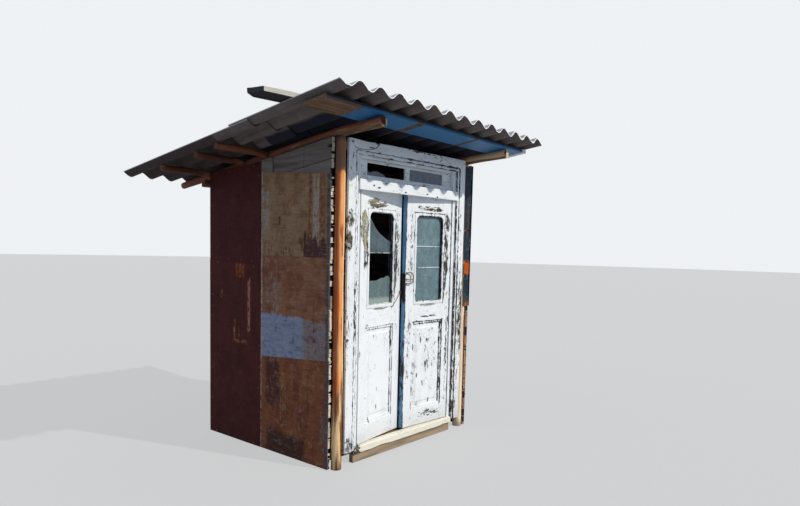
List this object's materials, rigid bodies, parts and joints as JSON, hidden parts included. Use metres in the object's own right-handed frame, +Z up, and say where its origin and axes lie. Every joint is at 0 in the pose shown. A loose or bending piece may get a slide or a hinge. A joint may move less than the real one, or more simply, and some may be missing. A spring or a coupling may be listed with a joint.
{
  "type": "wooden outhouse",
  "caption": "Small lean-to timber privy on pole posts: wavy roof sheets, rusty metal over boards, white flaking double door with glazed leaves that swing inwards, low broken transom.",
  "frame": {"origin": "on the ground, under the middle of the roof's outline", "axes": "+Z up, the double door faces -Y, the metal-clad side wall in the picture faces -X"},
  "size_m": [2.5846, 2.4838, 2.5143],
  "materials": {
    "bare_wood": "peeled poles and battens, orange-brown, greyer at the foot",
    "weathered_boards": "grey weathered rough-sawn boards",
    "blue_painted_wood": "board with worn blue oil paint",
    "white_painted_wood": "white oil paint, cracked and flaking off grey-brown wood",
    "fibre_cement": "weathered grey corrugated fibre-cement sheet with pale edges",
    "rusty_sheet": "flattened sheet steel with rust runs over tan and brown paint",
    "blue_sheet": "navy blue painted sheet steel",
    "window_glass": "dusty window glass, cracked and partly broken out",
    "rusty_iron": "rusty iron fittings"
  },
  "bodies": {
    "hut": {"front_posts": "bare_wood", "rear_posts": "bare_wood", "rafters": "bare_wood", "front_roof_board": "blue_painted_wood", "cross_poles": "bare_wood", "rear_plate": "bare_wood", "front_left_roof_sheet": "fibre_cement", "front_right_roof_sheet": "fibre_cement", "rear_left_roof_sheet": "fibre_cement", "rear_right_roof_sheet": "fibre_cement", "narrow_roof_sheet": "fibre_cement", "roof_plank": "weathered_boards", "left_wall": "weathered_boards", "right_wall": "weathered_boards", "rear_wall": "weathered_boards", "front_rail": "bare_wood", "left_top_cladding": "rusty_sheet", "left_middle_cladding": "rusty_sheet", "left_bottom_cladding": "rusty_sheet", "left_rear_top_cladding": "rusty_sheet", "left_rear_bottom_cladding": "rusty_sheet", "right_top_cladding": "blue_sheet", "right_bottom_cladding": "rusty_sheet", "floor_boards": "bare_wood", "floor_bearers": "bare_wood", "threshold": "white_painted_wood", "door_jambs": "white_painted_wood", "frame_head": "white_painted_wood", "transom_bar": "white_painted_wood", "left_casing": "white_painted_wood", "right_casing": "white_painted_wood", "head_casing": "white_painted_wood", "transom_sash": "white_painted_wood", "transom_glass": "window_glass", "frame_hinges": "rusty_iron"},
    "left_door": {"left_leaf": "white_painted_wood", "left_upper_glass": "window_glass", "left_lower_glass": "window_glass", "left_leaf_hinges": "rusty_iron", "door_hook": "rusty_iron"},
    "right_door": {"right_leaf": "white_painted_wood", "right_glass": "window_glass", "right_leaf_hinges": "rusty_iron", "door_handle": "rusty_iron"}
  },
  "joints": [
    {"name": "left_door_hinge", "type": "hinge", "parent": "hut", "child": "left_door", "pos_m": [-0.334, -0.6558, 1], "axis": [0, 0, 1], "range_deg": [-8.1, 92]},
    {"name": "right_door_hinge", "type": "hinge", "parent": "hut", "child": "right_door", "pos_m": [0.777, -0.6558, 1], "axis": [0, 0, -1], "range_deg": [-3.5, 96]}
  ]
}
